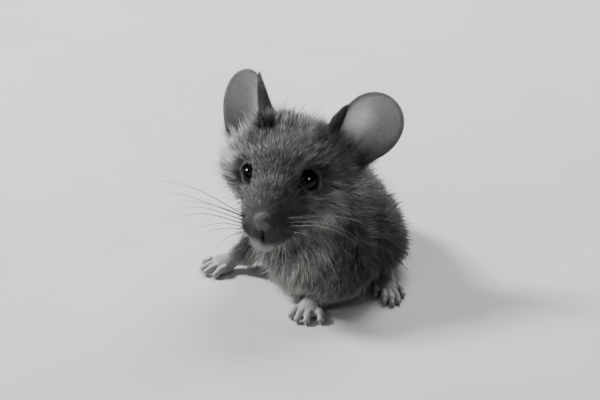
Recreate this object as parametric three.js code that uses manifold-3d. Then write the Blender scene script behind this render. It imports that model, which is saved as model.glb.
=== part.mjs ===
// A young house mouse, life size, standing with its head raised, both forepaws out and its tail on the floor.
// Millimetres, +Z up, -Y forward, +X to the mouse's own left. The solids reach out to the tips of the coat.
import * as THREE from "three";
import { mergeVertices } from "three/addons/utils/BufferGeometryUtils.js";
import Module from "manifold-3d";

const wasm = await Module();
wasm.setup();

// ---- Driving dimensions, in millimetres and degrees ----
const GAP = 0.3; // thin cut between neighbouring parts
const FLOOR_SINK = 0.15; // height taken off toes, feet, rump and tail to leave small flats

const HEAD_AT = [-4.4, -17.5, 19.5]; // midway between the eyes
const HEAD_YAW = -9; // turned to the mouse's right
const HEAD_PITCH = 3; // nose down
const HEAD_ROLL = -1;

const EYE_RADIUS = 1.75;
const EYE_AT = [4.3, 0.2, 0.1];

const NOSE_AT = [0, -9.1, -2.9];
const NOSE_RADII = [1.2, 0.9, 1.0];

const PAD_AT = [2.8, -7.1, -4.2]; // of the soft pad that the whiskers grow from
const PAD_RADII = [1.5, 1.8, 1.9];
const WHISKER_RADIUS = 0.3;
const WHISKER_TIP_RADIUS = 0.25;

const EAR_LENGTH = 12; // from the bottom of the bowl's rim to its tip
const EAR_WIDTH = 9.8;
const EAR_DEPTH = 4.6; // of the bowl, near its root
const EAR_TIP_DEPTH = 1.0; // of the bowl, near its tip
const EAR_THICKNESS = 0.6;

const TOE_RADIUS = 0.6;
const FOREPAW_TOES = [
  { side: -2.0, reach: 3.5 },
  { side: -0.75, reach: 4.6 },
  { side: 0.65, reach: 4.6 },
  { side: 2.5, reach: 3.6 },
];
const HIND_TOES = [
  { side: -2.1, reach: 11.6 },
  { side: -1.1, reach: 14.2 },
  { side: 0, reach: 14.8 },
  { side: 1.1, reach: 14.2 },
  { side: 2.1, reach: 11.9 },
];

const TAIL_ROOT_RADIUS = 1.6;
const TAIL_TIP_RADIUS = 0.45;
const TAIL_CUTS = [0, 0.34, 0.67, 1]; // shares of its length that part it in three
const TAIL_LAID = 0.2; // share of its length by which it has come down to the floor

// ---- Colours of the coat and the bare parts ----
const surface = (color, roughness) => new THREE.MeshStandardMaterial({ color, roughness, metalness: 0 });
const COAT = surface(0x5c5a58, 0.95);
const EAR_SKIN = surface(0x85827f, 0.7);
const PAW_SKIN = surface(0xaaa6a2, 0.6);
const NOSE_SKIN = surface(0x75716e, 0.5);
const TAIL_SKIN = surface(0x6f6c6a, 0.7);
const EYE_BLACK = surface(0x050505, 0.05);

const mouse = new THREE.Group();
const vector = (p) => new THREE.Vector3(...p);
const radians = THREE.MathUtils.degToRad;

// ---- Shapes ----

// One closed surface over a row of rings, with a fan over the first ring and over the last.
function loft(rings) {
  const sides = rings[0].length;
  const middle = (ring) => ring.reduce((sum, p) => sum.add(p), new THREE.Vector3()).divideScalar(sides);
  const points = [middle(rings[0]), ...rings.flat(), middle(rings.at(-1))];
  const last = points.length - 1;
  const index = [];
  for (let s = 0; s < sides; s++) {
    const t = (s + 1) % sides;
    index.push(0, 1 + t, 1 + s);
    index.push(last, last - sides + s, last - sides + t);
    for (let r = 0; r + 1 < rings.length; r++) {
      const a = 1 + r * sides;
      index.push(a + s, a + t, a + sides + s, a + t, a + sides + t, a + sides + s);
    }
  }
  return facedOut(new THREE.BufferGeometry().setFromPoints(points).setIndex(index));
}

// A rounded body through stations [x, y, z, half width, height above, depth below], z at the widest level.
// Sections stand square to the path, grow adds an even thickness, and taper draws the upper half in.
function bodyThrough(stations, { rings = 16, sides = 20, grow = 0, taper = 0 } = {}) {
  const curve = (from) =>
    new THREE.CatmullRomCurve3(stations.map((s) => vector(s.slice(from, from + 3))), false, "catmullrom");
  const path = curve(0);
  const sizes = curve(3);
  const up = new THREE.Vector3(0, 0, 1);
  const made = [];
  for (let r = 0; r < rings; r++) {
    const t = r / (rings - 1);
    const along = path.getTangent(t);
    const centre = path.getPoint(t).addScaledVector(along, grow * (2 * t - 1));
    const side = new THREE.Vector3().crossVectors(along, up).normalize();
    const above = new THREE.Vector3().crossVectors(side, along).normalize();
    const [wide, high, deep] = sizes.getPoint(t).toArray().map((x) => x + grow);
    const ring = [];
    for (let s = 0; s < sides; s++) {
      const angle = (2 * Math.PI * s) / sides;
      const rise = Math.sin(angle);
      const lift = (rise > 0 ? high : deep) * rise;
      const reach = -wide * Math.cos(angle) * (1 - taper * Math.max(rise, 0));
      ring.push(centre.clone().addScaledVector(side, reach).addScaledVector(above, lift));
    }
    made.push(ring);
  }
  return loft(made);
}

// A tapering limb, toe or tail through points [x, y, z, radius], pressed flatter where flat is under 1.
function limbThrough(points, { rings = 8, sides = 10, grow = 0, flat = 1 } = {}) {
  return bodyThrough(points.map(([x, y, z, r]) => [x, y, z, r, r * flat, r * flat]), { rings, sides, grow });
}

const egg = (centre, radii, grow = 0, sides = 14) =>
  new THREE.SphereGeometry(1, sides, Math.round(sides * 0.65))
    .scale(...radii.map((r) => r + grow))
    .translate(...centre);

// ---- Solids: joining and cutting ----

function solidFrom(geometry) {
  const bare = geometry.clone();
  bare.deleteAttribute("normal");
  bare.deleteAttribute("uv");
  const mesh = mergeVertices(bare, 1e-4);
  return new wasm.Manifold(
    new wasm.Mesh({
      numProp: 3,
      vertProperties: mesh.attributes.position.array,
      triVerts: new Uint32Array(mesh.index.array),
    }),
  );
}

function facedOut(geometry) {
  if (solidFrom(geometry).volume() > 0) return geometry;
  const index = geometry.index.array;
  for (let i = 0; i < index.length; i += 3) [index[i + 1], index[i + 2]] = [index[i + 2], index[i + 1]];
  return geometry;
}

function geometryFrom(solid) {
  const mesh = solid.getMesh();
  const positions = new Float32Array(mesh.numVert * 3);
  for (let i = 0; i < mesh.numVert; i++) {
    positions.set(mesh.vertProperties.subarray(i * mesh.numProp, i * mesh.numProp + 3), i * 3);
  }
  const geometry = new THREE.BufferGeometry()
    .setAttribute("position", new THREE.BufferAttribute(positions, 3))
    .setIndex(new THREE.BufferAttribute(mesh.triVerts, 1))
    .toNonIndexed();
  geometry.computeVertexNormals();
  return geometry;
}

const joined = (...geometries) => geometries.map(solidFrom).reduce((a, b) => a.add(b));
const cutBy = (solid, ...tools) => tools.reduce((left, tool) => left.subtract(tool), solid);
const piecesBySize = (solid) => solid.decompose().sort((a, b) => b.volume() - a.volume());

// Adds the largest piece of a solid, which drops any crumbs that a cut leaves.
function add(parent, name, material, solid) {
  const mesh = new THREE.Mesh(geometryFrom(piecesBySize(solid)[0]), material);
  mesh.name = name;
  parent.add(mesh);
}

const underFloor = solidFrom(new THREE.BoxGeometry(400, 400, 100).translate(0, 0, -50));

// ---- Head, in its own frame: origin midway between the eyes, -Y towards the nose ----

const head = new THREE.Group();
head.position.set(...HEAD_AT);
head.rotation.set(radians(HEAD_PITCH), radians(HEAD_ROLL), radians(HEAD_YAW), "ZXY");
mouse.add(head);
head.updateMatrix();

const HEAD_STATIONS = [
  [0, -9.5, -3.2, 0.7, 0.6, 0.7],
  [0, -9.0, -3.3, 1.8, 1.5, 2.0],
  [0, -8.0, -3.6, 3.0, 2.8, 3.5],
  [0, -6.5, -3.8, 4.4, 3.9, 4.7],
  [0, -4.6, -3.8, 5.0, 5.0, 5.2],
  [0, -2.4, -3.4, 5.2, 5.9, 5.7],
  [0, 0, -2.8, 5.7, 6.8, 6.6],
  [0, 2.4, -2.1, 8.4, 7.5, 7.6],
  [0, 5.2, -1.7, 10.4, 8.4, 8.2],
  [0, 8.2, -1.5, 10.3, 8.8, 8.2],
  [0, 11.0, -1.6, 9.0, 8.6, 7.4],
  [0, 13.6, -1.9, 6.6, 6.6, 5.8],
  [0, 15.4, -2.3, 3.2, 3.4, 2.8],
];
const skull = (grow) => bodyThrough(HEAD_STATIONS, { rings: 17, sides: 22, grow });
const eyeBall = (side, grow) =>
  solidFrom(egg([side * EYE_AT[0], EYE_AT[1], EYE_AT[2]], Array(3).fill(EYE_RADIUS), grow));
const noseTip = (grow) => solidFrom(egg(NOSE_AT, NOSE_RADII, grow, 10));
const whiskerPad = (side, grow) =>
  solidFrom(egg([side * PAD_AT[0], PAD_AT[1], PAD_AT[2]], PAD_RADII, grow, 10));

const headCuts = [eyeBall(1, GAP), eyeBall(-1, GAP), noseTip(GAP), whiskerPad(1, GAP), whiskerPad(-1, GAP)];
add(head, "head", COAT, cutBy(solidFrom(skull(0)), ...headCuts));
add(head, "nose", NOSE_SKIN, noseTip(0));
add(head, "eye_left", EYE_BLACK, eyeBall(1, 0));
add(head, "eye_right", EYE_BLACK, eyeBall(-1, 0));

// The longest whiskers of each side, from inside the pad to the tip. They curve out and hang a little.
const WHISKERS = {
  left: [
    [[3.2, -7.0, -3.0], [10.0, -6.4, -1.9], [14.2, -3.6, -4.1], [18.4, -0.6, -8.7]],
    [[3.2, -7.2, -3.5], [8.5, -8.0, -2.3], [11.9, -6.8, -3.7], [14.7, -5.0, -6.8]],
    [[3.2, -7.4, -4.7], [6.6, -8.8, -4.2], [9.0, -8.8, -4.7], [10.9, -8.4, -6.5]],
  ],
  right: [
    [[-3.2, -7.0, -3.0], [-12.1, -7.0, 0.9], [-20.0, -5.5, 0.3], [-28.1, -4.0, -3.0]],
    [[-3.2, -7.2, -3.5], [-8.1, -8.2, -1.2], [-13.4, -8.2, -1.1], [-19.7, -7.0, -4.4]],
    [[-3.2, -7.4, -4.2], [-8.9, -9.0, -2.4], [-13.2, -9.4, -3.2], [-16.3, -9.0, -5.0]],
    [[-3.2, -7.4, -5.0], [-5.3, -9.2, -5.7], [-6.7, -10.0, -6.7], [-7.8, -10.2, -7.8]],
  ],
};

for (const [name, side] of [["left", 1], ["right", -1]]) {
  const stems = WHISKERS[name].map((points) =>
    points.map((p, i) => [...p, THREE.MathUtils.lerp(WHISKER_RADIUS, WHISKER_TIP_RADIUS, i / 3)]),
  );
  const shafts = stems.map((stem) => solidFrom(limbThrough(stem, { rings: 8, sides: 5 })));
  const grown = shafts.reduce((a, b) => a.add(b), whiskerPad(side, 0));
  add(head, `whiskers_${name}`, COAT, cutBy(grown, noseTip(GAP)));
}

const EARS = {
  left: { at: [8.3, 9.1, 0.2], tip: [0.53, 0.48, 0.7], facing: [0.3, -0.86, 0.38] },
  right: { at: [-9.1, 8.8, 1.0], tip: [0.06, 0.42, 0.9], facing: [-0.5, -0.83, 0.24] },
};

// A thin round bowl that stands at a point of the head, open towards one side.
function pinna({ at, tip, facing }) {
  const sides = 20;
  const steps = 4;
  const rings = [];
  const sheet = (share, lift) => {
    const ring = [];
    for (let s = 0; s < sides; s++) {
      const angle = (2 * Math.PI * s) / sides;
      const across = (EAR_WIDTH / 2) * share * Math.cos(angle) * (1 + 0.1 * Math.sin(angle));
      const along = (EAR_LENGTH / 2) * (1 + share * Math.sin(angle));
      const depth = THREE.MathUtils.lerp(EAR_DEPTH, EAR_TIP_DEPTH, along / EAR_LENGTH);
      ring.push(new THREE.Vector3(across, along, lift - depth * (1 - share * share)));
    }
    return ring;
  };
  for (let i = 1; i <= steps; i++) rings.push(sheet(i / steps, EAR_THICKNESS / 2));
  for (let i = steps; i >= 1; i--) rings.push(sheet(i / steps, -EAR_THICKNESS / 2));
  const along = vector(tip).normalize();
  const across = new THREE.Vector3().crossVectors(along, vector(facing)).normalize();
  const out = new THREE.Vector3().crossVectors(across, along);
  const stand = new THREE.Matrix4().makeBasis(across, along, out).setPosition(...at);
  return loft(rings).applyMatrix4(stand);
}

for (const [name, ear] of Object.entries(EARS)) {
  add(head, `ear_${name}`, EAR_SKIN, cutBy(solidFrom(pinna(ear)), solidFrom(skull(GAP))));
}

// ---- Neck and trunk: one body bent up to the head, parted by a thin slanting cut ----

const TORSO_STATIONS = [
  [-4.0, -17.4, 20.0, 4.5, 4.5, 4.5],
  [-3.3, -15.6, 16.8, 7.4, 7.4, 8.0],
  [-1.4, -12.8, 13.0, 8.8, 9.4, 11.6],
  [-0.3, -9.0, 10.6, 10.8, 10.0, 11.0],
  [0.6, -4.0, 9.2, 11.6, 9.6, 8.9],
  [0.8, 1.0, 8.2, 11.2, 8.6, 7.9],
  [0.4, 5.5, 6.9, 9.4, 7.2, 6.6],
  [0, 9.5, 5.4, 6.6, 5.4, 5.0],
  [-0.4, 12.4, 4.3, 3.6, 3.3, 3.5],
  [-0.6, 13.6, 3.7, 1.4, 1.4, 1.5],
];
const NECK_CUT_AT = [-2.2, -13.0, 14.6];
const NECK_CUT_TILT = 42; // degrees that the cut leans up towards the nape

const TORSO_TAPER = 0.25; // share of its width that the back loses towards the spine

const CHEST_AT = [-0.5, -17.0, 7.2]; // middle of the full breast between the arms
const CHEST_RADII = [6.4, 6.6, 7.0];

const torso = (grow) =>
  solidFrom(bodyThrough(TORSO_STATIONS, { rings: 17, sides: 22, grow, taper: TORSO_TAPER })).add(
    solidFrom(egg(CHEST_AT, CHEST_RADII, grow, 14)),
  );
const headRoom = solidFrom(skull(GAP).applyMatrix4(head.matrix));
const body = torso(GAP).add(headRoom);
const neckCut = solidFrom(
  new THREE.BoxGeometry(60, 60, GAP).rotateX(radians(NECK_CUT_TILT)).translate(...NECK_CUT_AT),
);
const [trunk, neck] = piecesBySize(cutBy(torso(0), headRoom, neckCut, underFloor));
add(mouse, "trunk", COAT, trunk);
add(mouse, "neck", COAT, neck);

// ---- Forelegs and forepaws ----

const ARMS = {
  left: [
    [5.4, -12.8, 9.0, 4.6],
    [6.6, -16.2, 6.9, 4.2],
    [5.6, -19.4, 5.1, 3.5],
    [3.6, -21.8, 3.5, 2.6],
    [1.9, -23.2, 2.3, 1.7],
  ],
  right: [
    [-5.6, -11.2, 9.0, 4.0],
    [-8.0, -10.6, 6.0, 3.2],
    [-9.6, -10.2, 4.0, 2.3],
    [-11.2, -10.1, 2.8, 1.7],
    [-12.9, -10.4, 2.0, 1.4],
  ],
};
const PAWS = {
  left: { at: [1.5, -23.3, 1.4], yaw: -12 },
  right: { at: [-12.9, -10.4, 1.4], yaw: -62 },
};

// Turns about the upright axis, then sets down at a point.
const stood = ({ at, yaw }) =>
  new THREE.Matrix4().makeTranslation(...at).multiply(new THREE.Matrix4().makeRotationZ(radians(yaw)));

// A forepaw in its own frame: wrist at the origin, toes towards -Y, sole on z = -1.4.
function forepaw(outer) {
  const palm = [[0, 0.6, 0.4, 1.2], [0, -0.8, 0.1, 1.6], [0, -2.1, -0.4, 1.95], [0, -3.1, -0.7, 1.3]];
  const toe = ({ side, reach }) => [
    [outer * side * 0.5, -1.5, -0.4, TOE_RADIUS],
    [outer * side * 0.85, -reach + 1.3, -0.35, TOE_RADIUS],
    [outer * side * 1.1, -reach + 0.4, -0.8, TOE_RADIUS * 0.95],
    [outer * side * 1.2, -reach - 0.5, -1.0, TOE_RADIUS * 0.7],
  ];
  return [
    limbThrough(palm, { rings: 7, flat: 0.72 }),
    ...FOREPAW_TOES.map((t) => limbThrough(toe(t), { rings: 4, sides: 6 })),
  ];
}

const forelegs = {};
for (const [name, outer] of [["left", 1], ["right", -1]]) {
  const paw = joined(...forepaw(outer).map((g) => g.applyMatrix4(stood(PAWS[name]))));
  const arm = (grow) => solidFrom(limbThrough(ARMS[name], { rings: 10, sides: 14, grow }));
  forelegs[name] = arm(GAP).add(paw);
  add(mouse, `foreleg_${name}`, COAT, cutBy(arm(0), body, underFloor));
  add(mouse, `forepaw_${name}`, PAW_SKIN, cutBy(paw, arm(GAP), body, underFloor));
}

// ---- Hind legs and hind feet ----

const THIGHS = {
  left: { centre: [9.9, -7.2, 6.1], radii: [4.5, 8.0, 5.8] },
  right: { centre: [-8.2, 2.5, 6.1], radii: [4.4, 8.2, 5.8] },
};
const FEET = {
  left: { at: [10.3, -6.4, -FLOOR_SINK], yaw: 14 },
  right: { at: [-8.6, 8.2, -FLOOR_SINK], yaw: -10 },
};

// A hind foot in its own frame: heel at the origin, toes towards -Y, sole on z = 0.
function hindFoot() {
  const sole = [
    [0, 0.8, 1.1, 0.9],
    [0, 0, 1.1, 1.4],
    [0, -3, 1.0, 1.45],
    [0, -7, 0.9, 1.75],
    [0, -9.8, 0.8, 1.95],
    [0, -11, 0.65, 1.3],
  ];
  const toe = ({ side, reach }) => [
    [side * 0.55, -reach + 4.6, 0.75, TOE_RADIUS],
    [side * 0.85, -reach + 2.4, 0.8, TOE_RADIUS],
    [side, -reach + 0.9, 0.6, TOE_RADIUS * 0.9],
    [side * 1.05, -reach, 0.45, TOE_RADIUS * 0.7],
  ];
  return [
    limbThrough(sole, { rings: 7, flat: 0.75 }),
    ...HIND_TOES.map((t) => limbThrough(toe(t), { rings: 4, sides: 6 })),
  ];
}

for (const name of ["left", "right"]) {
  const { centre, radii } = THIGHS[name];
  const foot = joined(...hindFoot().map((g) => g.applyMatrix4(stood(FEET[name]))));
  const thigh = (grow) => solidFrom(egg(centre, radii, grow, 16));
  add(mouse, `hindleg_${name}`, COAT, cutBy(thigh(0), body, forelegs[name], underFloor));
  add(mouse, `hindfoot_${name}`, PAW_SKIN, cutBy(foot, thigh(GAP), body, forelegs[name], underFloor));
}

// ---- Tail: down from the rump, back over the floor and round in a hook, in three lengths ----

const TAIL_ROUTE = [
  [-0.5, 12.6, 3.8],
  [-0.7, 16, 2.6],
  [-0.5, 20, 1.5],
  [0.8, 29, 1.2],
  [0.2, 38, 1.0],
  [-4.5, 43.5, 0.9],
  [-10, 42.5, 0.8],
  [-13.2, 36.5, 0.7],
  [-12, 29, 0.6],
];
const tailPath = new THREE.CatmullRomCurve3(TAIL_ROUTE.map(vector));

function tailPiece(from, to) {
  const steps = 9;
  const points = [];
  for (let i = 0; i <= steps; i++) {
    const share = from + ((to - from) * i) / steps;
    const radius = THREE.MathUtils.lerp(TAIL_ROOT_RADIUS, TAIL_TIP_RADIUS, share);
    const p = tailPath.getPointAt(share);
    points.push([p.x, p.y, share > TAIL_LAID ? radius - FLOOR_SINK : p.z, radius]);
  }
  return solidFrom(limbThrough(points, { rings: steps + 1, sides: 8 }));
}

const slack = GAP / 2 / tailPath.getLength();
["tail_root", "tail_middle", "tail_tip"].forEach((name, i) => {
  const piece = tailPiece(TAIL_CUTS[i] + (i > 0 ? slack : 0), TAIL_CUTS[i + 1] - (i < 2 ? slack : 0));
  add(mouse, name, TAIL_SKIN, cutBy(piece, body, underFloor));
});

// ---- Frame: the middle of the footprint, on the floor ----

const bounds = new THREE.Box3().setFromObject(mouse, true);
const middle = bounds.getCenter(new THREE.Vector3());
mouse.position.set(-middle.x, -middle.y, -bounds.min.z);

export default mouse;
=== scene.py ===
# A young house mouse around its fixed frame: one skin with ears, paws, nose and ringed tail, glossy eyes,
# claws, whiskers, and a coat of small hairs that lie back from the nose to the rump.
import math

import bmesh
import bpy
import numpy as np
from mathutils import Euler, Matrix, Vector, noise
from mathutils.bvhtree import BVHTree
from mathutils.kdtree import KDTree


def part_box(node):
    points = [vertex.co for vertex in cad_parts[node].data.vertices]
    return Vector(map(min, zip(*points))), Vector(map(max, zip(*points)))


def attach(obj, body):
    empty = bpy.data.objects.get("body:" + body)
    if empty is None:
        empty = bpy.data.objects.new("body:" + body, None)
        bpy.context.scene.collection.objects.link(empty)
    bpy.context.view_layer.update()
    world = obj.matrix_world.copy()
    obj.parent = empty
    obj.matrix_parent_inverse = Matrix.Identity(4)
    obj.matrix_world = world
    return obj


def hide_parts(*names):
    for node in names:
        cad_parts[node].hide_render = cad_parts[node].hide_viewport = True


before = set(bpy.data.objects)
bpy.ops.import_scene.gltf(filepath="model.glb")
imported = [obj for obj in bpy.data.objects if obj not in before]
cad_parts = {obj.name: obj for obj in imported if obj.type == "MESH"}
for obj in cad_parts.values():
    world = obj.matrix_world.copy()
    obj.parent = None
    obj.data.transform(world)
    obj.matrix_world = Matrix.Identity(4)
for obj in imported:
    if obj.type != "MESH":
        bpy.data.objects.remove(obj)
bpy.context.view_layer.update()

MM = 0.001
rng = np.random.default_rng(7)


# ---- The frame's own places ----


def middle(node):
    low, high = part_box(node)
    return (Vector(low) + Vector(high)) / 2


EYES = {"left": middle("eye_left"), "right": middle("eye_right")}
EYE_RADIUS = 1.75 * MM
HEAD_TURN = (
    Matrix.Rotation(math.radians(-9), 3, "Z")
    @ Matrix.Rotation(math.radians(3), 3, "X")
    @ Matrix.Rotation(math.radians(-1), 3, "Y")
)
HEAD_AT = (EYES["left"] + EYES["right"]) / 2 - HEAD_TURN @ Vector((0, 0.2, 0.1)) * MM
HEAD_AXES = np.array(HEAD_TURN)
BODY_SHIFT = HEAD_AT - Vector((-4.4, -17.5, 19.5)) * MM


def in_head(points):
    """Points in the head's own frame, in millimetres: +X its left, -Y to the nose, origin between the eyes."""
    return (np.asarray(points) - np.array(HEAD_AT)) @ HEAD_AXES / MM


def from_head(point):
    return HEAD_AT + HEAD_TURN @ Vector(point) * MM


def placed(point):
    """A point of the mouse's build, in millimetres, brought into the frame."""
    return BODY_SHIFT + Vector(point) * MM


# ---- Camera, lights and floor ----

VIEW_TURN = math.radians(7)
VIEW_RISE = math.radians(25)
VIEW_DISTANCE = 0.42
PIXELS_PER_MM = 6.4
IMAGE_WIDTH = 600
SENSOR = 36.0

target = placed((-1.38, -14.96, 15.0))
towards_viewer = Vector(
    (
        math.sin(VIEW_TURN) * math.cos(VIEW_RISE),
        -math.cos(VIEW_TURN) * math.cos(VIEW_RISE),
        math.sin(VIEW_RISE),
    )
)


def aimed(obj, at, towards):
    obj.location = at
    obj.rotation_mode = "QUATERNION"
    obj.rotation_quaternion = (towards - at).to_track_quat("-Z", "Y")


camera_data = bpy.data.cameras.new("camera")
camera_data.sensor_width = SENSOR
camera_data.lens = SENSOR * VIEW_DISTANCE / (IMAGE_WIDTH / PIXELS_PER_MM * MM)
camera_data.clip_start = 0.01
camera_data.clip_end = 20
camera = bpy.data.objects.new("camera", camera_data)
bpy.context.collection.objects.link(camera)
aimed(camera, target + towards_viewer * VIEW_DISTANCE, target)
bpy.context.scene.camera = camera


def soft_light(name, offset, size, power):
    light = bpy.data.lights.new(name, "AREA")
    light.shape = "DISK"
    light.size = size
    light.energy = power
    obj = bpy.data.objects.new(name, light)
    bpy.context.collection.objects.link(obj)
    aimed(obj, target + Vector(offset), target)
    return obj


soft_light("key_light", (-0.50, 0.15, 0.43), 0.16, 8.0)
soft_light("back_light", (0.06, 0.46, 0.44), 0.30, 3.8)
soft_light("rim_light", (0.30, 0.48, 0.20), 0.12, 0.6)
soft_light("front_fill", (-0.34, -0.48, 0.45), 0.14, 0.5)
# a pane that is seen only mirrored, as the glint in the eyes
eye_glint = soft_light("eye_glint", (0.402, -0.287, 0.423), 0.16, 3.0)
eye_glint.visible_diffuse = False

world = bpy.data.worlds.new("studio")
bpy.context.scene.world = world
world.use_nodes = True
world.node_tree.nodes["Background"].inputs["Color"].default_value = (0.8, 0.8, 0.8, 1)
world.node_tree.nodes["Background"].inputs["Strength"].default_value = 0.15


# ---- Materials ----


class Finish:
    """A material on one Principled shader, with small helpers for its pattern nodes."""

    def __init__(self, name, roughness, specular=0.5):
        self.material = bpy.data.materials.new(name)
        self.material.use_nodes = True
        self.tree = self.material.node_tree
        self.shader = self.tree.nodes["Principled BSDF"]
        self.shader.inputs["Roughness"].default_value = roughness
        self.shader.inputs["Specular IOR Level"].default_value = specular
        self.place = self.tree.nodes.new("ShaderNodeTexCoord").outputs["Object"]

    def put(self, kind, **inputs):
        node = self.tree.nodes.new(kind)
        for key, value in inputs.items():
            socket = node.inputs[key.replace("_", " ")]
            if isinstance(value, bpy.types.NodeSocket):
                self.tree.links.new(value, socket)
            else:
                socket.default_value = value
        return node

    def speckle(self, scale, detail=3.0, roughness=0.6):
        return self.put("ShaderNodeTexNoise", Vector=self.place, Scale=scale, Detail=detail, Roughness=roughness)

    def ramp(self, source, dark, light, low=0.3, high=0.7):
        node = self.tree.nodes.new("ShaderNodeValToRGB")
        node.color_ramp.elements[0].position = low
        node.color_ramp.elements[1].position = high
        node.color_ramp.elements[0].color = (*dark, 1)
        node.color_ramp.elements[1].color = (*light, 1)
        self.tree.links.new(source, node.inputs["Fac"])
        return node.outputs["Color"]

    def colour(self, socket):
        self.tree.links.new(socket, self.shader.inputs["Base Color"])

    def bump(self, height, strength, distance):
        node = self.put("ShaderNodeBump", Height=height, Strength=strength, Distance=distance)
        self.tree.links.new(node.outputs["Normal"], self.shader.inputs["Normal"])


def grey(value):
    return (value, value * 0.985, value * 0.965)


def toned(name, roughness, specular, attribute="tone"):
    finish = Finish(name, roughness, specular)
    node = finish.tree.nodes.new("ShaderNodeAttribute")
    node.attribute_name = attribute
    return finish, node.outputs["Color"]


def speckled_tone(finish, tone, scale, amount):
    """The surface's own tone, made lighter and darker by a fine speckle."""
    spots = finish.speckle(scale).outputs["Fac"]
    range_ = finish.put("ShaderNodeMapRange", Value=spots)
    range_.inputs["To Min"].default_value = 1 - amount
    range_.inputs["To Max"].default_value = 1 + amount
    mix = finish.tree.nodes.new("ShaderNodeVectorMath")
    mix.operation = "SCALE"
    finish.tree.links.new(tone, mix.inputs[0])
    finish.tree.links.new(range_.outputs["Result"], mix.inputs["Scale"])
    finish.colour(mix.outputs["Vector"])


hide, hide_tone = toned("coat_hide", 0.95, 0.05)
speckled_tone(hide, hide_tone, 2500, 0.3)
hide.bump(hide.speckle(4000).outputs["Fac"], 0.5, 0.00008)

paw_hide, paw_tone = toned("paw_hide", 0.5, 0.4)
speckled_tone(paw_hide, paw_tone, 1800, 0.18)
paw_cells = paw_hide.put("ShaderNodeTexVoronoi", Vector=paw_hide.place, Scale=3200)
paw_hide.bump(paw_cells.outputs["Distance"], 0.5, 0.00006)
paw_hide.shader.inputs["Subsurface Weight"].default_value = 0.25
paw_hide.shader.inputs["Subsurface Radius"].default_value = (0.0006, 0.0005, 0.0005)
paw_hide.shader.inputs["Subsurface Scale"].default_value = 1.0

ear_hide, ear_tone = toned("ear_hide", 0.6, 0.3)
speckled_tone(ear_hide, ear_tone, 1500, 0.3)
ear_hide.bump(ear_hide.speckle(2600).outputs["Fac"], 0.35, 0.00006)
ear_hide.shader.inputs["Subsurface Weight"].default_value = 0.5
ear_hide.shader.inputs["Subsurface Radius"].default_value = (0.0015, 0.0015, 0.0015)
ear_hide.shader.inputs["Subsurface Scale"].default_value = 1.0

tail_hide, tail_tone = toned("tail_hide", 0.6, 0.35)
speckled_tone(tail_hide, tail_tone, 1500, 0.2)
tail_hide.bump(tail_hide.speckle(3000).outputs["Fac"], 0.4, 0.00005)

nose_hide, nose_tone = toned("nose_hide", 0.42, 0.45)
speckled_tone(nose_hide, nose_tone, 2600, 0.15)
nose_cells = nose_hide.put("ShaderNodeTexVoronoi", Vector=nose_hide.place, Scale=6500)
nose_hide.bump(nose_cells.outputs["Distance"], 0.6, 0.00006)

fur, fur_tone = toned("fur", 0.55, 0.32)
speckled_tone(fur, fur_tone, 900, 0.2)

whisker, whisker_tone = toned("whisker", 0.35, 0.5)
speckled_tone(whisker, whisker_tone, 400, 0.12)

claw = Finish("claw", 0.3, 0.5)
claw.colour(claw.ramp(claw.speckle(1200).outputs["Fac"], grey(0.34), grey(0.52)))

eye_black = Finish("eye", 0.06, 0.5)
eye_black.shader.inputs["IOR"].default_value = 1.24
eye_black.colour(eye_black.ramp(eye_black.speckle(700).outputs["Fac"], grey(0.0015), grey(0.005)))

floor_finish = Finish("floor", 0.75, 0.2)
floor_finish.colour(floor_finish.ramp(floor_finish.speckle(14).outputs["Fac"], grey(0.60), grey(0.68)))

bpy.ops.mesh.primitive_plane_add(size=4)
floor = bpy.context.object
floor.name = "floor"
floor.data.materials.append(floor_finish.material)


# ---- Working on a mesh by hand ----


def only(obj):
    bpy.ops.object.select_all(action="DESELECT")
    obj.select_set(True)
    bpy.context.view_layer.objects.active = obj
    return obj


def named(obj, name):
    obj.name = name
    obj.data.name = name
    return obj


def in_edit(obj):
    only(obj)
    bpy.ops.object.mode_set(mode="EDIT")
    return bmesh.from_edit_mesh(obj.data)


def leave_edit():
    bpy.ops.object.mode_set(mode="OBJECT")


def settled(obj):
    """Leaves the object at the origin, with its place in its mesh."""
    only(obj)
    bpy.ops.object.transform_apply(location=True, rotation=True, scale=True)
    return obj


def modified(obj, kind, **settings):
    only(obj)
    modifier = obj.modifiers.new(kind.lower(), kind)
    for key, value in settings.items():
        setattr(modifier, key, value)
    bpy.ops.object.modifier_apply(modifier=modifier.name)
    return obj


def remeshed(obj, voxel):
    return modified(obj, "REMESH", mode="VOXEL", voxel_size=voxel, use_smooth_shade=True)


def smoothed(obj, rounds, factor=0.5):
    return modified(obj, "SMOOTH", iterations=rounds, factor=factor)


def joined(pieces, name):
    only(pieces[0])
    for piece in pieces[1:]:
        piece.select_set(True)
    bpy.ops.object.join()
    return named(bpy.context.object, name)


def united(obj, other):
    modified(obj, "BOOLEAN", operation="UNION", object=other, solver="MANIFOLD", material_mode="TRANSFER")
    bpy.data.objects.remove(other)
    return obj


def closed_copy(node, grow=0.0):
    """A merged copy of a node's solid, made thicker all over."""
    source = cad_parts[node]
    copy = source.copy()
    copy.data = source.data.copy()
    copy.parent = None
    copy.matrix_world = Matrix.Identity(4)
    copy.hide_render = False
    bpy.context.collection.objects.link(copy)
    copy.data.materials.clear()
    copy.name = node + "_copy"
    in_edit(copy)
    bpy.ops.mesh.select_all(action="SELECT")
    bpy.ops.mesh.remove_doubles(threshold=1e-6)
    bpy.ops.mesh.normals_make_consistent(inside=False)
    if grow:
        bpy.ops.transform.shrink_fatten(value=grow, use_even_offset=False)
    leave_edit()
    return copy


def places(obj):
    flat = np.empty(len(obj.data.vertices) * 3)
    obj.data.vertices.foreach_get("co", flat)
    return flat.reshape(-1, 3)


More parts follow.
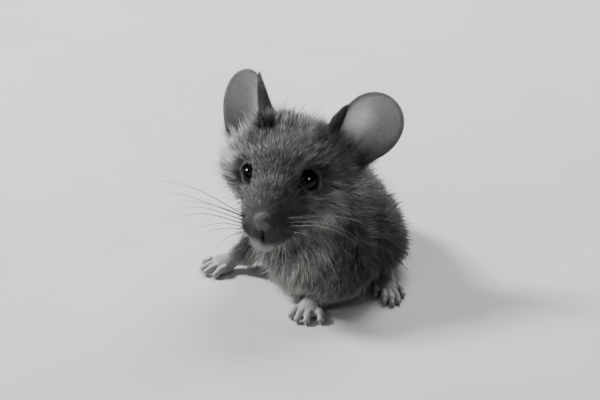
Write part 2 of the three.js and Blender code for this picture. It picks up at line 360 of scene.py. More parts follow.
def normals(obj):
    flat = np.empty(len(obj.data.vertices) * 3)
    obj.data.vertices.foreach_get("normal", flat)
    return flat.reshape(-1, 3)


def put_places(obj, points):
    obj.data.vertices.foreach_set("co", points.astype(np.float32).ravel())
    obj.data.update()


def soft_step(value, start, end):
    t = np.clip((value - start) / (end - start), 0, 1)
    return t * t * (3 - 2 * t)


def unit(vectors):
    return vectors / np.maximum(np.linalg.norm(vectors, axis=-1, keepdims=True), 1e-12)


def toned_mesh(obj, values):
    """Writes a grey tone to each vertex of a mesh."""
    layer = obj.data.color_attributes.new(name="tone", type="FLOAT_COLOR", domain="POINT")
    values = np.clip(values, 0.004, 0.9)
    colours = np.stack([values, values * 0.985, values * 0.965, np.ones_like(values)], axis=1)
    layer.data.foreach_set("color", colours.astype(np.float32).ravel())


def drawn(name, stations, sides, aside=Vector((1, 0, 0))):
    """A round closed limb drawn out of a circle: extruded from station to station, each (centre, width, height)."""
    centres = [Vector(s[0]) for s in stations]
    bpy.ops.object.select_all(action="DESELECT")
    bpy.ops.mesh.primitive_circle_add(vertices=sides, radius=1, fill_type="NGON", location=(0, 0, 0))
    limb = bpy.context.object
    work = in_edit(limb)
    for i, (centre, wide, high) in enumerate(stations):
        if i:
            bpy.ops.mesh.extrude_region()
        work = bmesh.from_edit_mesh(limb.data)
        along = (centres[min(i + 1, len(centres) - 1)] - centres[max(i - 1, 0)]).normalized()
        above = along.cross(aside).normalized()
        across = above.cross(along).normalized()
        ring = [v for v in work.verts if v.select]
        flat = centre_of(ring)
        for v in ring:
            turn = v.co - flat
            if i == 0:
                x, y = turn.x, turn.y
            else:
                x = turn.dot(last_across) / last_wide
                y = turn.dot(last_above) / last_high
            v.co = centres[i] + across * (x * wide) + above * (y * high)
        last_across, last_above, last_wide, last_high = across, above, wide, high
    bpy.ops.mesh.select_all(action="SELECT")
    bpy.ops.mesh.normals_make_consistent(inside=False)
    leave_edit()
    return named(limb, name)


def centre_of(verts):
    total = Vector((0, 0, 0))
    for v in verts:
        total += v.co
    return total / len(verts)


def smooth_path(points, steps):
    """Points on a Catmull-Rom curve through points of any width, evenly stepped between them."""
    points = [np.asarray(p, float) for p in points]
    padded = [2 * points[0] - points[1], *points, 2 * points[-1] - points[-2]]
    out = []
    spans = len(points) - 1
    for i in range(steps):
        t = i / (steps - 1) * spans
        k = min(int(t), spans - 1)
        f = t - k
        a, b, c, d = padded[k : k + 4]
        out.append(
            0.5 * (2 * b + (c - a) * f + (2 * a - 5 * b + 4 * c - d) * f * f + (3 * b - a - 3 * c + d) * f**3)
        )
    return out


# ---- The skin: flesh joined, drawn in by the coat's depth, and shaped ----

FLESH = (
    "head",
    "neck",
    "trunk",
    "foreleg_left",
    "foreleg_right",
    "hindleg_left",
    "hindleg_right",
)
# The furred fold that carries the inner edge of each ear up from the crown: centre, width and depth, in the head's frame.
EAR_FOLDS = {
    "left": (
        ((5.6, 6.4, 3.2), 1.9, 1.9),
        ((6.4, 7.8, 5.2), 1.2, 1.1),
        ((7.2, 9.2, 6.8), 0.55, 0.6),
        ((8.1, 10.5, 8.1), 0.2, 0.22),
    ),
    "right": (
        ((-3.6, 6.8, 4.2), 2.3, 1.9),
        ((-4.1, 8.1, 6.6), 1.45, 1.1),
        ((-4.9, 9.2, 8.8), 0.85, 0.7),
        ((-5.5, 10.3, 10.6), 0.42, 0.4),
        ((-6.1, 11.5, 11.8), 0.14, 0.14),
    ),
}


FOLD_SLIMNESS = (0.4, 0.7, 0.95, 1, 1)


def fold_nearness(points, first, inner, outer):
    """How close each point is to an ear's furred fold, from 0 to 1, and which way that fold runs."""
    head = in_head(points)
    close = np.zeros(len(points))
    way = np.zeros((len(points), 3))
    for stations in EAR_FOLDS.values():
        line = smooth_path([p for p, w, h in stations], 24)
        widths = np.interp(np.linspace(0, 1, 24), np.linspace(0, 1, len(stations)), [w for p, w, h in stations])
        for i in range(first, 23):
            here = 1 - soft_step(np.linalg.norm(head - line[i], axis=1), widths[i] + inner, widths[i] + outer)
            nearer = here > close
            close[nearer] = here[nearer]
            way[nearer] = HEAD_AXES @ unit(line[i + 1] - line[i])
    return close, way


def shaped_fold(side, last, slimness):
    """The fold up to a station, its first stations slimmer so that they stay inside the skin or the coat."""
    stations = [(from_head(p), w * slim * MM, h * slim * MM) for (p, w, h), slim in zip(EAR_FOLDS[side][:last], slimness)]
    fold = drawn("ear_fold_" + side, stations, 20, aside=HEAD_TURN @ Vector((1, 0, 0)))
    modified(fold, "SUBSURF", levels=2, render_levels=2)
    fold.data.materials.append(hide.material)
    return fold


solids = {}
for node in FLESH:
    grown = closed_copy(node, grow=0.22 * MM)
    work = bmesh.new()
    work.from_mesh(grown.data)
    solids[node] = (grown, BVHTree.FromBMesh(work))
    work.free()



def soft_ball(name, centre, radii):
    """A round lump in the head's own frame, in millimetres."""
    bpy.ops.object.select_all(action="DESELECT")
    bpy.ops.mesh.primitive_uv_sphere_add(segments=24, ring_count=16, radius=1, location=(0, 0, 0))
    ball = named(bpy.context.object, name)
    put_places(ball, np.array(HEAD_AT) + (places(ball) * radii + centre) * MM @ HEAD_AXES.T)
    return ball


pads = [soft_ball("pad", (side * 2.75, -7.1, -4.2), (1.45, 1.8, 1.9)) for side in (1, -1)]
pads.append(soft_ball("nose_pad", (0.05, -8.95, -2.6), (1.75, 1.25, 1.9)))
pads += [shaped_fold(side, 3, (1, 1, 1)) for side in ("left", "right")]
skin = joined([grown for grown, _ in solids.values()] + pads, "skin")
remeshed(skin, 0.32 * MM)
smoothed(skin, 14)


def nearness(points):
    """How much each point belongs to each flesh node, as shares that add up to one."""
    reach = np.empty((len(points), len(FLESH)))
    for column, node in enumerate(FLESH):
        tree = solids[node][1]
        for row, point in enumerate(points):
            reach[row, column] = tree.find_nearest(point)[3]
    share = np.exp(-reach / (0.9 * MM))
    return share / share.sum(axis=1, keepdims=True)


def coat_depth(points, share):
    """Depth of the coat under its tips, in millimetres."""
    head = in_head(points)
    y = head[:, 1]
    face = 0.12 + 0.22 * soft_step(y, -9.5, -7) + 0.25 * soft_step(y, -5, -1) + 1.35 * soft_step(y, 0.5, 6)
    eye_near = np.minimum(*(np.linalg.norm(points - np.array(EYES[s]), axis=1) for s in EYES)) / MM
    face += 0.8 * soft_step(y, 0, 8) * soft_step(head[:, 2], 1, 6) * (1 - soft_step(np.abs(head[:, 0] - 2), 2.0, 5.0))
    face *= 1 - 0.55 * (1 - soft_step(eye_near, 1.8, 4.2))
    depth = np.zeros(len(points))
    for column, node in enumerate(FLESH):
        if node == "head":
            value = face
        elif node == "neck":
            value = 1.5 - 1.1 * soft_step(points[:, 2] / MM, 12, 18)
        elif node == "trunk":
            value = 1.9 - 0.7 * (1 - soft_step(points[:, 2] / MM, 0.5, 6))
        elif node.startswith("foreleg"):
            value = 0.15 + 1.2 * soft_step(points[:, 2] / MM, 2.0, 9.0)
        else:
            value = 0.5 + 1.0 * soft_step(points[:, 2] / MM, 1.5, 8.0)
        depth += share[:, column] * value
    return depth * (1 - 0.8 * fold_nearness(points, 9, 0.2, 0.9)[0])


points = places(skin)
share = nearness(points)
put_places(skin, points - normals(skin) * (coat_depth(points, share) * MM + 0.22 * MM)[:, None])
smoothed(skin, 4)

# The face is finer than the rest.
work = in_edit(skin)
bpy.ops.mesh.select_all(action="DESELECT")
bpy.ops.mesh.select_mode(type="FACE")
work = bmesh.from_edit_mesh(skin.data)
for face in work.faces:
    x, y, z = in_head(face.calc_center_median())
    face.select = y < 2.6 and z > -9.5 and abs(x) < 8
bmesh.update_edit_mesh(skin.data)
bpy.ops.mesh.subdivide(number_cuts=1, smoothness=0.6)
leave_edit()


def pushed(obj, centre, radius, direction, amount, flatten=(1, 1, 1)):
    """A soft push, as with a brush: a centre, radius and direction in the head's own frame, in millimetres."""
    points = in_head(places(obj))
    reach = np.linalg.norm((points - np.array(centre)) / np.array(flatten), axis=1) / radius
    weight = np.exp(-(reach**2))
    points += weight[:, None] * np.array(direction) * amount
    put_places(obj, np.array(HEAD_AT) + points * MM @ HEAD_AXES.T)


NOSTRIL = (0.72, -9.95, -3.4)
for side in (1, -1):
    # whisker pads, the hollow in front of each eye, the cheek and the chin
    pushed(skin, (side * 2.6, -7.3, -4.5), 1.5, (side * 0.7, -0.5, -0.1), 0.25)
    pushed(skin, (side * 3.2, -3.0, -1.2), 1.5, (-side, 0, -0.4), 0.35)
    pushed(skin, (side * 1.6, -8.6, -6.6), 1.0, (side * 0.3, 0.5, 0.6), 0.35)
    # nostril, a comma that opens to the side
    pushed(skin, (side * NOSTRIL[0], NOSTRIL[1], NOSTRIL[2]), 0.24, (side * -0.3, 1, 0.1), 0.5)
    pushed(skin, (side * (NOSTRIL[0] + 0.32), NOSTRIL[1] + 0.35, NOSTRIL[2] + 0.22), 0.2, (-side * 0.7, 0.6, 0), 0.35)
    # the side of the mouth
    for step in range(7):
        share_back = step / 6
        x = side * (0.35 + 2.6 * share_back)
        y = -8.75 + 3.4 * share_back
        pushed(skin, (x, y, -6.45 - 0.75 * share_back), 0.3, (-side * 0.35, 0.7, 0.25), 0.38)
    # the upper lip hangs over the mouth
    pushed(skin, (side * 1.0, -8.8, -6.1), 1.5, (0, -0.15, -1), 1.35)
# the tip of the snout rounds down to the nose
pushed(skin, (0, -9.6, -0.9), 1.1, (0, 0.3, -1), 0.45)
# the groove from the nose to the mouth
for step in range(12):
    pushed(skin, (0, -9.85 + 0.1 * step, -3.8 - 0.3 * step), 0.27, (0, 1, 0), 0.5)

EYE_AXES = {"left": unit(np.array((0.9, -0.85, 0.28))), "right": unit(np.array((-0.9, -0.85, 0.28)))}
SOCKET_HEIGHT = 0.3


def opened_socket(side):
    """Draws the skin back to a shallow cone round the eye, then out into a thin lid that hugs it."""
    eye, axis = in_head(np.array([EYES[side]]))[0], EYE_AXES[side]
    head = in_head(places(skin))
    away = head - eye
    height = away @ axis
    flat = np.linalg.norm(away - height[:, None] * axis, axis=1)
    limit = SOCKET_HEIGHT + 0.9 * np.maximum(flat - 1.95, 0)
    nasal = -away[:, 0] * (1 if side == "left" else -1)
    excess = np.maximum(height - limit, 0) * (1 - soft_step(flat, 2.2, 3.3)) * (0.3 + 0.7 * soft_step(nasal, -0.6, 0.8))
    head -= excess[:, None] * axis
    away = head - eye
    reach = np.linalg.norm(away, axis=1)
    facing = soft_step(unit(away) @ axis, -0.15, 0.1)
    rim = np.exp(-(((reach - 1.93) / 0.17) ** 2)) * facing
    head += (rim * 0.24)[:, None] * axis
    put_places(skin, np.array(HEAD_AT) + head * MM @ HEAD_AXES.T)


for side in EYES:
    opened_socket(side)
skin.data.materials.clear()
skin.data.materials.append(hide.material)


# ---- Ears ----

EARS = {
    "left": {"at": (8.3, 9.1, 0.2), "tip": (0.53, 0.48, 0.7), "facing": (0.3, -0.86, 0.38), "inner": -1},
    "right": {"at": (-9.1, 8.8, 1.0), "tip": (0.06, 0.42, 0.9), "facing": (-0.5, -0.83, 0.24), "inner": 1},
}
EAR_LENGTH = 11.9
EAR_WIDTH = 9.7
EAR_THICKNESS = 0.26


def ear_axes(ear):
    along = Vector(ear["tip"]).normalized()
    across = along.cross(Vector(ear["facing"])).normalized()
    out = across.cross(along)
    return across, along, out


def shaped_ear(side):
    """A disc inset ring by ring, then bowed into a thin bowl with a funnel at its root and a turned rim."""
    ear = EARS[side]
    bpy.ops.object.select_all(action="DESELECT")
    bpy.ops.mesh.primitive_circle_add(vertices=72, radius=1, fill_type="NGON", location=(0, 0, 0))
    obj = named(bpy.context.object, "ear_" + side + "_shell")
    rings = 16
    in_edit(obj)
    bpy.ops.mesh.select_mode(type="FACE")
    bpy.ops.mesh.select_all(action="SELECT")
    for _ in range(rings):
        bpy.ops.mesh.inset(thickness=0.95 / rings)
    bpy.ops.mesh.poke()
    leave_edit()
    across, along, out = (np.array(v) for v in ear_axes(ear))
    disc = places(obj)
    a = disc[:, 0] * ear["inner"]  # towards the middle of the head
    b = disc[:, 1]
    r = np.hypot(a, b)
    depth = 4.4 + (0.9 - 4.4) * (1 + b) / 2
    bowl = -depth * (1 - r**2)
    # the root runs on down into the head as a funnel
    root = 1 - soft_step(b, -1.0, -0.5)
    # the inner edge turns forward, and two low folds run up from the root
    turned = soft_step(r, 0.8, 1.0) * soft_step(a, 0.1, 0.8) * 0.75
    rolled = soft_step(r, 0.9, 1.0) * 0.16
    low = 1 - soft_step(b, -0.75, 0.15)
    folds = 0.42 * low * np.exp(-(((a - 0.28) / 0.11) ** 2)) + 0.32 * low * np.exp(-(((a + 0.16) / 0.1) ** 2))
    waves = 0.05 * np.sin(9 * a + 2.2 * b) * (1 - r**2)
    wide = EAR_WIDTH / 2 * disc[:, 0] * (1 + 0.1 * b)
    tall = EAR_LENGTH / 2 * (1 + b) - 2.8 * root
    lift = bowl + turned + rolled + folds + waves - 1.2 * root
    head = np.array(ear["at"]) + wide[:, None] * across + tall[:, None] * along + lift[:, None] * out
    put_places(obj, np.array(HEAD_AT) + head * MM @ HEAD_AXES.T)
    modified(obj, "SOLIDIFY", thickness=EAR_THICKNESS * MM, offset=0, use_even_offset=False)
    work = in_edit(obj)
    bpy.ops.mesh.select_all(action="SELECT")
    bpy.ops.mesh.normals_make_consistent(inside=False)
    leave_edit()
    smoothed(obj, 2, 0.4)
    obj.data.materials.append(ear_hide.material)
    return obj


# ---- Paws and hind feet ----

FOREPAWS = {"left": ((1.5, -23.3, 1.4), -12, 1), "right": ((-12.9, -10.4, 1.4), -62, -1)}
HIND_FEET = {"left": ((10.3, -6.4, 0), 14, 1), "right": ((-8.6, 8.2, 0), -10, -1)}
FOREPAW_TOES = ((-2.0, 3.5), (-0.75, 4.6), (0.65, 4.6), (2.5, 3.6))
HIND_TOES = ((-2.1, 11.6), (-1.1, 14.2), (0, 14.8), (1.1, 14.2), (2.1, 11.9))
claws = []


def stood(points, at, yaw):
    turn = Matrix.Rotation(math.radians(yaw), 3, "Z")
    return [(placed(Vector(at) + turn @ Vector(p)), w * MM, h * MM) for p, w, h in points]


def clawed(name, tip, aim, at, yaw):
    """A small curved claw out of a toe's tip."""
    aim = Vector(aim).normalized()
    down = Vector((0, 0, -1))
    stations = []
    for reach, radius in ((-0.2, 0.16), (0.05, 0.15), (0.25, 0.1), (0.42, 0.05), (0.52, 0.015)):
        stations.append((Vector(tip) + aim * reach + down * (0.32 * max(reach, 0) ** 2), radius * 0.8, radius))
    claws.append(drawn(name, stood(stations, at, yaw), 8))


def shaped_paw(side):
    at, yaw, outer = FOREPAWS[side]
    palm = [
        ((0, 1.6, 1.1), 0.95, 0.95),
        ((0, 0.6, 0.5), 1.1, 0.95),
        ((0, -0.8, 0.05), 1.65, 1.1),
        ((0, -2.1, -0.4), 2.0, 0.95),
        ((0, -3.0, -0.65), 1.5, 0.7),
    ]
    pieces = [drawn("palm_" + side, stood(palm, at, yaw), 16)]
    for i, (aside, reach) in enumerate(FOREPAW_TOES):
        x = aside * outer
        lean = Vector((x * 0.1, -0.9, -0.35))
        path = [
            ((x * 0.45, -1.4, -0.45), 0.62, 0.6),
            ((x * 0.74, -reach + 1.7, -0.22), 0.62, 0.58),
            ((x * 0.92, -reach + 0.9, -0.25), 0.62, 0.56),
            ((x * 1.02, -reach + 0.35, -0.55), 0.55, 0.5),
            ((x * 1.08, -reach - 0.1, -0.82), 0.6, 0.54),
            ((x * 1.1, -reach - 0.45, -0.98), 0.42, 0.36),
        ]
        pieces.append(drawn("toe", stood(path, at, yaw), 12))
        clawed("claw", (x * 1.1, -reach - 0.45, -0.95), lean, at, yaw)
    # pads under the palm, and the stub of the thumb
    for x, y in ((-1.1 * outer, -2.3), (0.9 * outer, -2.2), (0, -0.9)):
        pad = [((x, y + 0.5, -1.05), 0.35, 0.3), ((x, y, -1.1), 0.55, 0.35), ((x, y - 0.5, -1.05), 0.35, 0.3)]
        pieces.append(drawn("pad", stood(pad, at, yaw), 10))
    paw = joined(pieces, "forepaw_" + side + "_skin")
    remeshed(paw, 0.13 * MM)
    smoothed(paw, 3)
    paw.data.materials.clear()
    paw.data.materials.append(paw_hide.material)
    return paw


def shaped_foot(side):
    at, yaw, outer = HIND_FEET[side]
    sole = [
        ((0, 1.6, 1.9), 1.0, 1.0),
        ((0, 0.4, 1.2), 1.25, 1.1),
        ((0, -3, 1.0), 1.3, 0.95),
        ((0, -7, 0.95), 1.6, 0.9),
        ((0, -9.8, 0.8), 1.8, 0.75),
        ((0, -10.9, 0.65), 1.2, 0.5),
    ]
    pieces = [drawn("sole_" + side, stood(sole, at, yaw), 16)]
    for aside, reach in HIND_TOES:
        x = aside
        path = [
            ((x * 0.6, -reach + 4.4, 0.75), 0.5, 0.5),
            ((x * 0.85, -reach + 2.6, 0.95), 0.5, 0.5),
            ((x * 0.96, -reach + 1.6, 0.9), 0.52, 0.5),
            ((x, -reach + 0.9, 0.6), 0.42, 0.42),
            ((x * 1.04, -reach + 0.4, 0.48), 0.48, 0.44),
            ((x * 1.05, -reach + 0.1, 0.42), 0.34, 0.3),
        ]
        pieces.append(drawn("toe", stood(path, at, yaw), 12))
        clawed("claw", (x * 1.05, -reach + 0.1, 0.5), (x * 0.05, -0.9, -0.25), at, yaw)
    foot = joined(pieces, "hindfoot_" + side + "_skin")
    remeshed(foot, 0.15 * MM)
    smoothed(foot, 3)
    foot.data.materials.clear()
    foot.data.materials.append(paw_hide.material)
    return foot


# ---- Tail, with a ring at every row of scales ----

TAIL_ROUTE = (
    (-0.5, 11.4, 4.4),
    (-0.6, 14.4, 3.2),
    (-0.7, 17, 2.3),
    (-0.5, 20.5, 1.42),
    (0.8, 29, 1.15),
    (0.2, 38, 0.98),
    (-4.5, 43.5, 0.83),
    (-10, 42.5, 0.68),
    (-13.2, 36.5, 0.52),
    (-12, 29, 0.4),
)
TAIL_ROOT, TAIL_TIP = 1.5, 0.36
TAIL_RINGS = 116


def shaped_tail():
    steps = TAIL_RINGS * 2 + 1
    stations = []
    for i, p in enumerate(smooth_path(TAIL_ROUTE, steps)):
        share = i / (steps - 1)
        radius = TAIL_ROOT + (TAIL_TIP - TAIL_ROOT) * share
        radius += (0.028 if i % 2 else -0.028) * (1 - 0.4 * share)
        if i in (0, steps - 1):
            radius *= 0.55
        height = p[2] if share < 0.3 else max(p[2] - 0.06, radius)
        stations.append((placed((p[0], p[1], height)), radius * MM, radius * MM))
    tail = drawn("tail_skin", stations, 16)
    tail.data.materials.append(tail_hide.material)
    return tail


tail = shaped_tail()
parts = [shaped_ear("left"), shaped_ear("right"), shaped_fold("left", 4, FOLD_SLIMNESS), shaped_fold("right", 5, FOLD_SLIMNESS), tail]
parts += [shaped_paw("left"), shaped_paw("right"), shaped_foot("left"), shaped_foot("right")]
for part in parts:
    united(skin, part)
above_floor = places(skin)
above_floor[:, 2] = np.maximum(above_floor[:, 2], 0.02 * MM)
put_places(skin, above_floor)
only(skin)
bpy.ops.object.shade_smooth()
print("skin", len(skin.data.vertices), len(skin.data.polygons), [m.name for m in skin.data.materials])


# ---- Eyes, claws and whiskers ----


def shaped_eye(side):
    bpy.ops.mesh.primitive_uv_sphere_add(segments=48, ring_count=32, radius=EYE_RADIUS, location=EYES[side])
    eye = settled(named(bpy.context.object, "eyeball_" + side))
    bpy.ops.object.shade_smooth()
    eye.data.materials.append(eye_black.material)
    return eye


eyes = {side: shaped_eye(side) for side in EYES}
claw_set = joined(claws, "claws")
claw_set.data.materials.append(claw.material)
bpy.ops.object.shade_smooth()

# Each whisker runs from its root in the pad through three places, in the head's frame, in millimetres.
WHISKERS = (
    ((-3.3, -7.2, -2.9), (-12.1, -7.0, 0.9), (-20.0, -5.5, 0.3), (-28.1, -4.0, -3.0), 0.075),
    ((-3.5, -7.2, -3.2), (-12.1, -7.4, -0.6), (-17.2, -6.6, -0.9), (-24.8, -5.0, -3.5), 0.07),
    ((-3.4, -7.4, -3.0), (-8.1, -8.2, -1.2), (-13.4, -8.2, -1.1), (-19.7, -7.0, -4.4), 0.085),
    ((-3.6, -7.3, -3.8), (-9.4, -8.4, -1.7), (-14.2, -8.6, -2.5), (-18.3, -8.0, -4.7), 0.075),
    ((-3.5, -7.6, -4.2), (-8.9, -9.0, -2.4), (-13.2, -9.4, -3.2), (-16.3, -9.0, -5.0), 0.08),
    ((-3.5, -7.5, -4.8), (-6.5, -9.2, -3.6), (-9.7, -10.2, -4.3), (-12.0, -10.4, -6.0), 0.07),
    ((-3.3, -7.7, -5.0), (-6.4, -9.4, -4.4), (-9.2, -10.4, -5.2), (-11.4, -10.6, -6.6), 0.06),
    ((-3.2, -7.4, -5.5), (-5.3, -9.2, -5.7), (-6.7, -10.0, -6.7), (-7.8, -10.2, -7.8), 0.065),
    ((3.4, -7.2, -2.9), (10.0, -6.4, -1.9), (14.2, -3.6, -4.1), (18.4, -0.6, -8.7), 0.055),
    ((3.4, -7.3, -3.3), (8.5, -8.0, -2.3), (11.9, -6.8, -3.7), (14.7, -5.0, -6.8), 0.06),
    ((3.5, -7.4, -3.9), (8.6, -8.4, -2.8), (11.8, -7.6, -4.0), (14.5, -6.2, -6.7), 0.065),
    ((3.4, -7.5, -4.6), (6.6, -8.8, -4.2), (9.0, -8.8, -4.7), (10.9, -8.4, -6.5), 0.055),
    ((3.4, -7.3, -2.6), (6.4, -7.6, -1.7), (9.2, -6.4, -1.5), (12.2, -4.6, -1.7), 0.045),
    ((3.2, -7.4, -5.4), (5.2, -9.0, -5.8), (6.6, -9.8, -6.8), (7.6, -10.0, -7.9), 0.06),
)


def shaped_whiskers():
    pieces = []
    for *bends, radius in WHISKERS:
        stations = []
        for i, point in enumerate(smooth_path(bends, 22)):
            thick = radius * (1 - 0.8 * i / 21) * MM
            stations.append((from_head(point), thick, thick))
        pieces.append(drawn("whisker", stations, 6, aside=HEAD_TURN @ Vector((0.2, 0.3, 1)).normalized()))
    whiskers = joined(pieces, "whiskers")
    whiskers.data.materials.append(whisker.material)
    # dark near the root, pale beyond; those on the mouse's left side, away from the key lamp, stay darker as painted
    # shade
    aside = in_head(places(whiskers))[:, 0]
    pale = np.where(aside < 0, 0.5, 0.22)
    toned_mesh(whiskers, 0.07 + pale * soft_step(np.abs(aside), 4.0, 12.0))
    bpy.ops.object.shade_smooth()
    return whiskers


whisker_set = shaped_whiskers()


# ---- Markings, with painted light and shade on the face, the same for skin and coat ----

COAT, EAR, TAIL, PAW, NOSE = range(5)
skin.data.materials.append(nose_hide.material)


def limb_line(points, first, last):
    """How far along the line from first to last each point is, from 0 to 1, and its distance from it in millimetres."""
    first, last = np.array(placed(first)), np.array(placed(last))
    span = last - first
    along = np.clip((points - first) @ span / (span @ span), 0, 1)
    return along, np.linalg.norm(points - first - along[:, None] * span, axis=1) / MM


def markings_and_painted_light(points, out, share):
    """The coat's tone at each place, from the body's own parts: dark back and crown, pale chin, chest and belly; on the
    face also painted light and painted shade.
    """
    head = in_head(points)
    x, y, z = head.T
    tone = np.full(len(points), 0.095)
    on_head = share[:, FLESH.index("head")]
    face = 0.08 + 0.12 * soft_step(y, 2.0, 7)
    # painted light: the temple on the mouse's right side, towards the key lamp, is made paler than on its left
    lit_temple = soft_step(np.abs(x), 4.8, 7.0) * soft_step(y, -1.5, 1.5) * soft_step(z, -2, 1)
    face += np.where(x < 0, 0.22, 0.0) * lit_temple
    # painted shade: the lower face on the mouse's left side, away from the key lamp, is made darker
    face *= 1 - 0.4 * soft_step(x, 2.0, 5.0) * (1 - soft_step(z, 2, 5))
    face *= 1 - 0.15 * (1 - soft_step(y, -6, -3))
    # painted highlight: the top of the snout above the nose is made paler
    nose_highlight_reach = np.linalg.norm(head - (-0.3, -9.7, -1.7), axis=1)
    face *= 1 + 1.1 * np.exp(-((nose_highlight_reach / 1.1) ** 2))
    # painted shade: a dark line down the groove from the nose to the mouth
    groove_shade = np.exp(-(((x - 0.05) / 0.2) ** 2)) * (1 - soft_step(y, -8.6, -7.8)) * (1 - soft_step(z, -4.4, -3.8)) * soft_step(z, -7.9, -7.2)
    face *= 1 - 0.75 * groove_shade
    fold, _ = fold_nearness(points, 6, 0.2, 1.6)
    face = face * (1 - fold) + 0.065 * fold
    chin = 1 - soft_step(z + 0.12 * y + 0.3 + 0.7 * soft_step(x, -1.0, 0.5), -7.3, -6.0)
    face = face * (1 - chin) + 0.42 * chin
    for side in EYES:
        reach = np.linalg.norm(points - np.array(EYES[side]), axis=1) / MM
        face *= 0.15 + 0.85 * soft_step(reach, 1.98, 2.3)
        face *= 1 + 0.5 * np.exp(-(((reach - 3.0) / 0.8) ** 2))
    tone = tone * (1 - on_head) + face * on_head
    # underside of neck and trunk, and the chest between the arms
    row = (points - np.array(BODY_SHIFT)) / MM
    below = (1 - soft_step(out[:, 2], -0.55, 0.05)) * (1 - 0.8 * soft_step(row[:, 1], -4, 6))
    chest = np.exp(-(((row[:, 0] + 0.5) / 5.0) ** 2)) * (1 - soft_step(row[:, 1], -15, -9)) * (1 - soft_step(out[:, 1], -0.5, 0.1))
    pale = np.maximum(below, chest) * (1 - on_head)
    tone = tone * (1 - pale) + 0.6 * pale
    # the arms pale towards the paws
    along, off = limb_line(points, (6.8, -18.6, 4.6), (1.8, -23.2, 2.1))
    tone += 0.26 * share[:, FLESH.index("foreleg_left")] * soft_step(along, 0.3, 1)
    along, off = limb_line(points, (-8, -10.6, 6), (-12.9, -10.4, 2.0))
    tone += 0.3 * share[:, FLESH.index("foreleg_right")] * soft_step(along, 0.1, 0.9)
    feet = share[:, FLESH.index("hindleg_left")] + share[:, FLESH.index("hindleg_right")]
    tone += 0.2 * feet * (1 - soft_step(points[:, 2] / MM, 1.2, 3.5))
    return tone


def bare_tone(points, kind):
    """The tone of ears, tail, paws and nose, with painted light and shade on the ears and the nose."""
    tone = np.full(len(points), 0.3)
    if kind == EAR:
        # painted shade over the root and the lower bowl, painted light in the upper half of the bowl, a small painted
        # light spot low in the bowl, and darker along the rim
        for ear in EARS.values():
            across, along, out = (np.array(v) for v in ear_axes(ear))
            away = in_head(points) - np.array(ear["at"])
            near = np.linalg.norm(away, axis=1) < 14
            up = away @ along / EAR_LENGTH
            a = away @ across / (EAR_WIDTH / 2) * ear["inner"]
            b = 2 * up - 1
            value = 0.155 + 0.3 * np.exp(-(((a - 0.4) / 0.4) ** 2) - ((b - 0.05) / 0.42) ** 2)
            value *= 1 - 0.42 * (1 - soft_step(b + 0.35 * a, -0.7, -0.05))
            value += 0.05 * np.exp(-(((a + 0.13) / 0.17) ** 2) - ((b + 0.6) / 0.16) ** 2)
            value *= 1 - 0.6 * soft_step(np.hypot(a, b), 0.88, 0.99)
            tone[near] = value[near]
    elif kind == TAIL:
        tone[:] = 0.2
    elif kind == PAW:
        row = (points - np.array(BODY_SHIFT)) / MM
        tone = 0.32 - 0.08 * np.maximum(soft_step(row[:, 0], 5, 7), soft_step(row[:, 1], -8, -6))
    elif kind == NOSE:
        head = in_head(points)
        middle_gap = np.linalg.norm((head - (0, -9.8, -2.9)) / (1.5, 1.2, 1.4), axis=1)
        # painted highlight: the top of the pad is made paler
        tone[:] = 0.068 - 0.02 * soft_step(middle_gap, 0.4, 0.9) + 0.02 * soft_step(head[:, 2], -2.9, -2.0)
        # painted shade in the nostrils
        for side in (1, -1):
            pit = np.linalg.norm(head - (side * NOSTRIL[0], NOSTRIL[1], NOSTRIL[2]), axis=1)
            tone *= 1 - 0.85 * np.exp(-((pit / 0.3) ** 2))
        # painted shade down the groove below the nose
        tone *= 1 - 0.7 * np.exp(-((head[:, 0] / 0.12) ** 2)) * (1 - soft_step(head[:, 2], -3.9, -3.4))
    return tone


faces_of = skin.data.polygons
kinds = np.empty(len(faces_of), dtype=np.int32)
faces_of.foreach_get("material_index", kinds)
middles = np.empty(len(faces_of) * 3)
faces_of.foreach_get("center", middles)
middles = middles.reshape(-1, 3)
head_middles = in_head(middles)
pad = np.linalg.norm((head_middles - (0, -9.8, -3.25)) / (1.4, 0.95, 1.05), axis=1) < 1
kinds[pad & (kinds == COAT)] = NOSE
faces_of.foreach_set("material_index", kinds)

skin_places, skin_normals = places(skin), normals(skin)
skin_share = nearness(skin_places)
skin_tone = markings_and_painted_light(skin_places, skin_normals, skin_share) * 0.8
loops_start = np.empty(len(faces_of), dtype=np.int32)
loops_total = np.empty(len(faces_of), dtype=np.int32)
faces_of.foreach_get("loop_start", loops_start)
faces_of.foreach_get("loop_total", loops_total)
corner_vertex = np.empty(len(skin.data.loops), dtype=np.int32)
skin.data.loops.foreach_get("vertex_index", corner_vertex)
corner_kind = np.repeat(kinds, loops_total)
for kind in (EAR, TAIL, PAW, NOSE):
    members = np.unique(corner_vertex[corner_kind == kind])
    skin_tone[members] = bare_tone(skin_places[members], kind)


toned_mesh(skin, skin_tone)


# ---- The coat: small closed hairs in locks over the skin ----

only(skin)
in_edit(skin)
bpy.ops.mesh.select_all(action="SELECT")
bpy.ops.uv.smart_project(angle_limit=math.radians(60), island_margin=0.004)
leave_edit()
skin.data.uv_layers.active.name = "OFBake"

